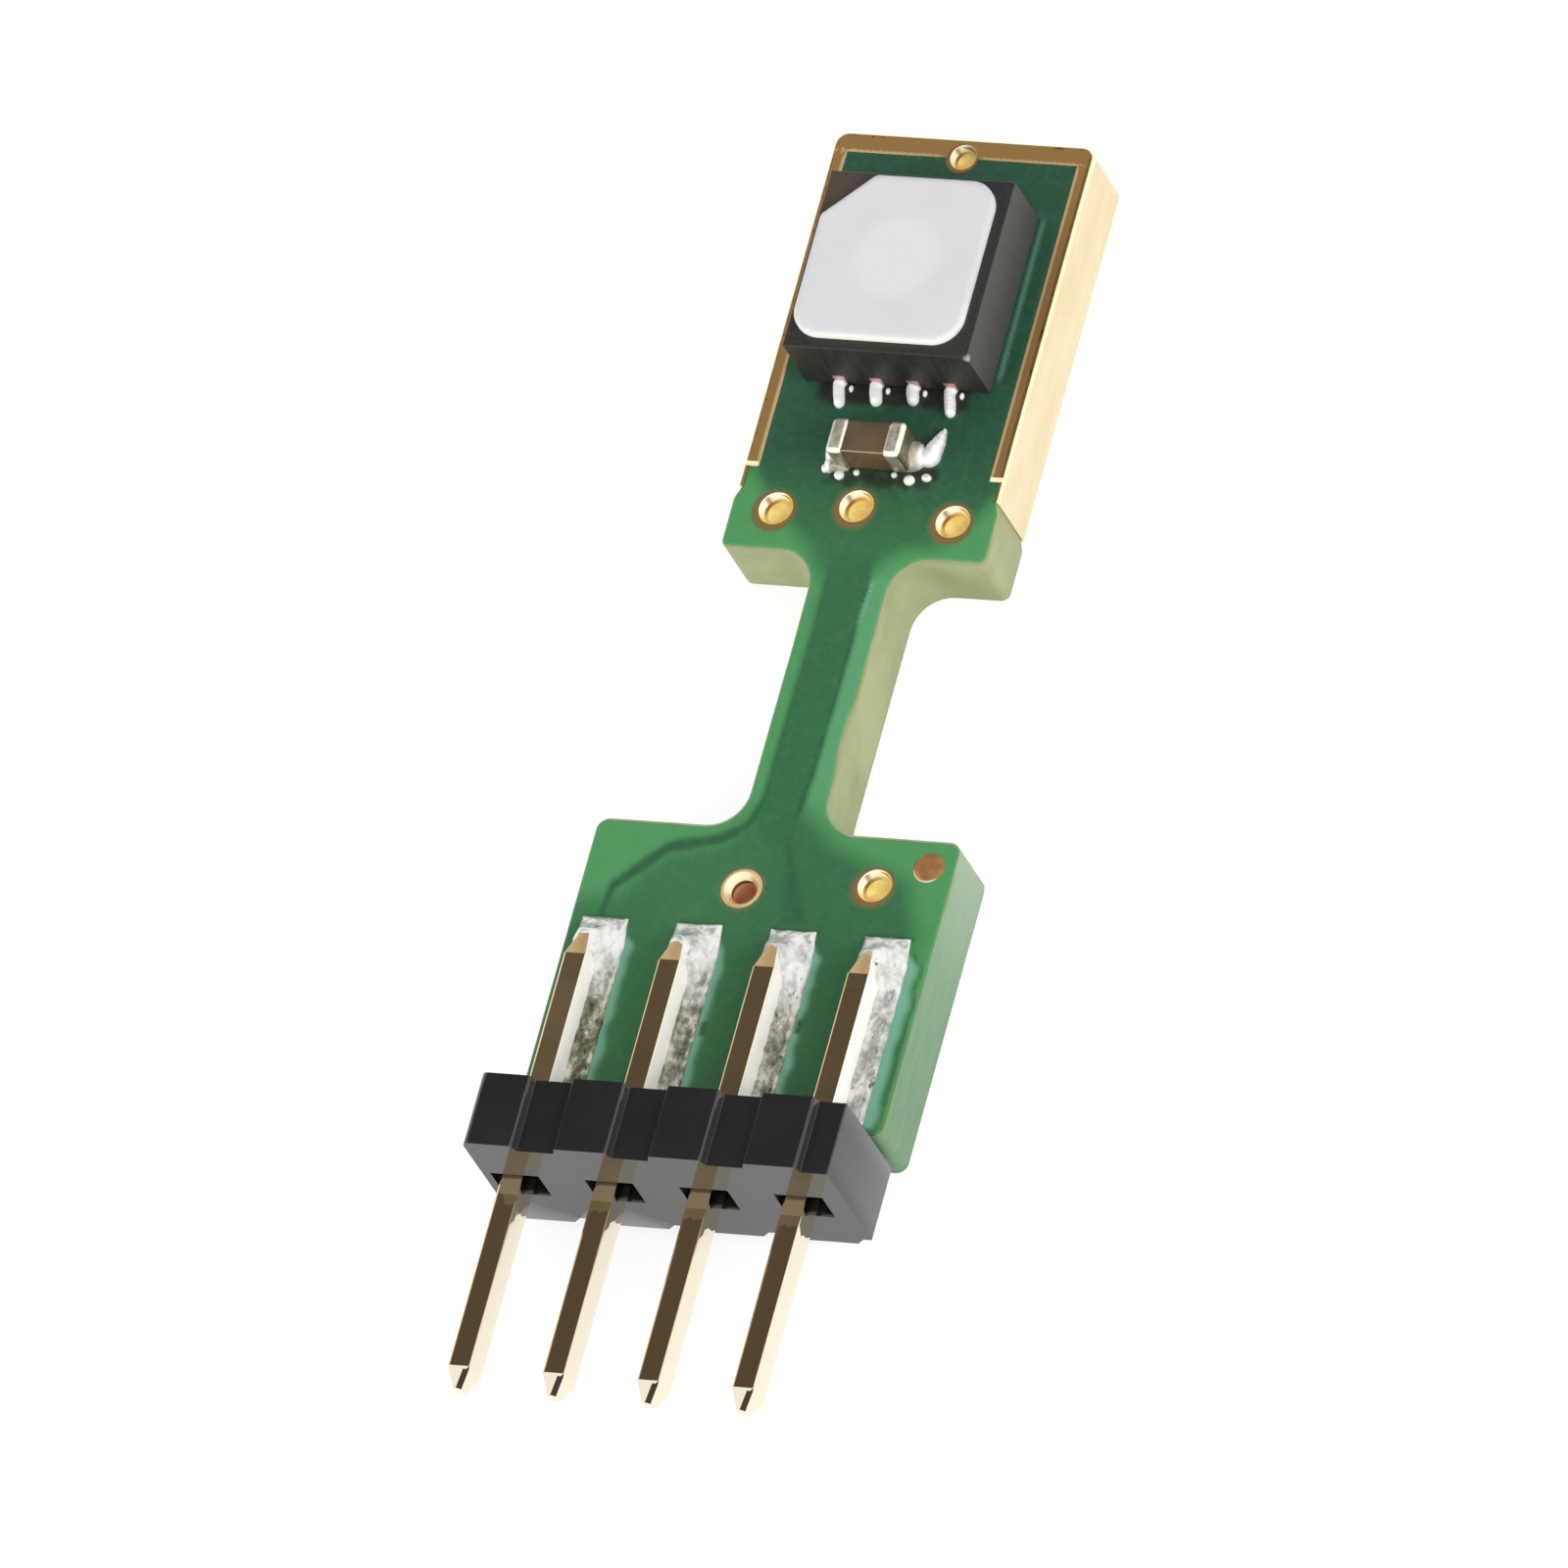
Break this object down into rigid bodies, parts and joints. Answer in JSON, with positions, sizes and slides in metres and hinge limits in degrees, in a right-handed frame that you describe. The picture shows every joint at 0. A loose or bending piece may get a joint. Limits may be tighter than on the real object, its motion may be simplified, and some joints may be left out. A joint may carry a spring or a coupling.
{
  "type": "temperature humidity sensor module",
  "caption": "Small dumbbell-shaped green circuit board with a membrane-topped air sensor on its plated head and a straight black pin header soldered along its foot.",
  "frame": {"origin": "below the middle of the bounding box, on the plane of the board's flat rear face", "axes": "+X across the board to the right seen from the component side, +Y along the board from the pins to the sensor end, +Z out of the component side"},
  "size_m": [0.005, 0.0178, 0.0022],
  "materials": {
    "glass_epoxy": "cut edge of glass-fibre laminate, pale green-grey, satin",
    "green_mask": "semi-gloss green solder mask, darker over copper",
    "gold_plating": "immersion gold, smooth",
    "gold_pin": "gold-flashed drawn pin, bright",
    "bare_copper": "copper, satin",
    "solder": "hand-laid tin solder, uneven and bright",
    "header_plastic": "moulded black plastic, satin to glossy",
    "mould_compound": "black moulding compound, fine matt",
    "membrane": "white porous membrane, matt",
    "ceramic": "fired brown ceramic, satin",
    "tinned_cap": "tinned end cap, satin"
  },
  "bodies": {
    "root": {"board_laminate": "glass_epoxy", "capacitor_cap_left": "tinned_cap", "capacitor_cap_right": "tinned_cap", "capacitor_ceramic": "ceramic", "capacitor_solder_left": "solder", "capacitor_solder_right": "solder", "copper_dot": "bare_copper", "data_trace": "bare_copper", "edge_plating": "gold_plating", "ground_copper": "bare_copper", "header_housing": "header_plastic", "pin_1": "gold_pin", "pin_2": "gold_pin", "pin_3": "gold_pin", "pin_4": "gold_pin", "pin_pad_1": "gold_plating", "pin_pad_2": "gold_plating", "pin_pad_3": "gold_plating", "pin_pad_4": "gold_plating", "pin_solder_1": "solder", "pin_solder_2": "solder", "pin_solder_3": "solder", "pin_solder_4": "solder", "sensor_membrane": "membrane", "sensor_mould": "mould_compound", "sensor_solder_1": "solder", "sensor_solder_2": "solder", "sensor_solder_3": "solder", "sensor_solder_4": "solder", "sensor_solder_5": "solder", "sensor_solder_6": "solder", "sensor_solder_7": "solder", "sensor_solder_8": "solder", "sensor_terminal_1": "bare_copper", "sensor_terminal_2": "bare_copper", "sensor_terminal_3": "bare_copper", "sensor_terminal_4": "bare_copper", "sensor_terminal_5": "bare_copper", "sensor_terminal_6": "bare_copper", "sensor_terminal_7": "bare_copper", "sensor_terminal_8": "bare_copper", "solder_mask_front": "green_mask", "solder_mask_rear": "green_mask", "via_base_left": "gold_plating", "via_base_right": "gold_plating", "via_head_left": "gold_plating", "via_head_middle": "gold_plating", "via_head_right": "gold_plating", "via_head_tip": "gold_plating"}
  },
  "joints": []
}
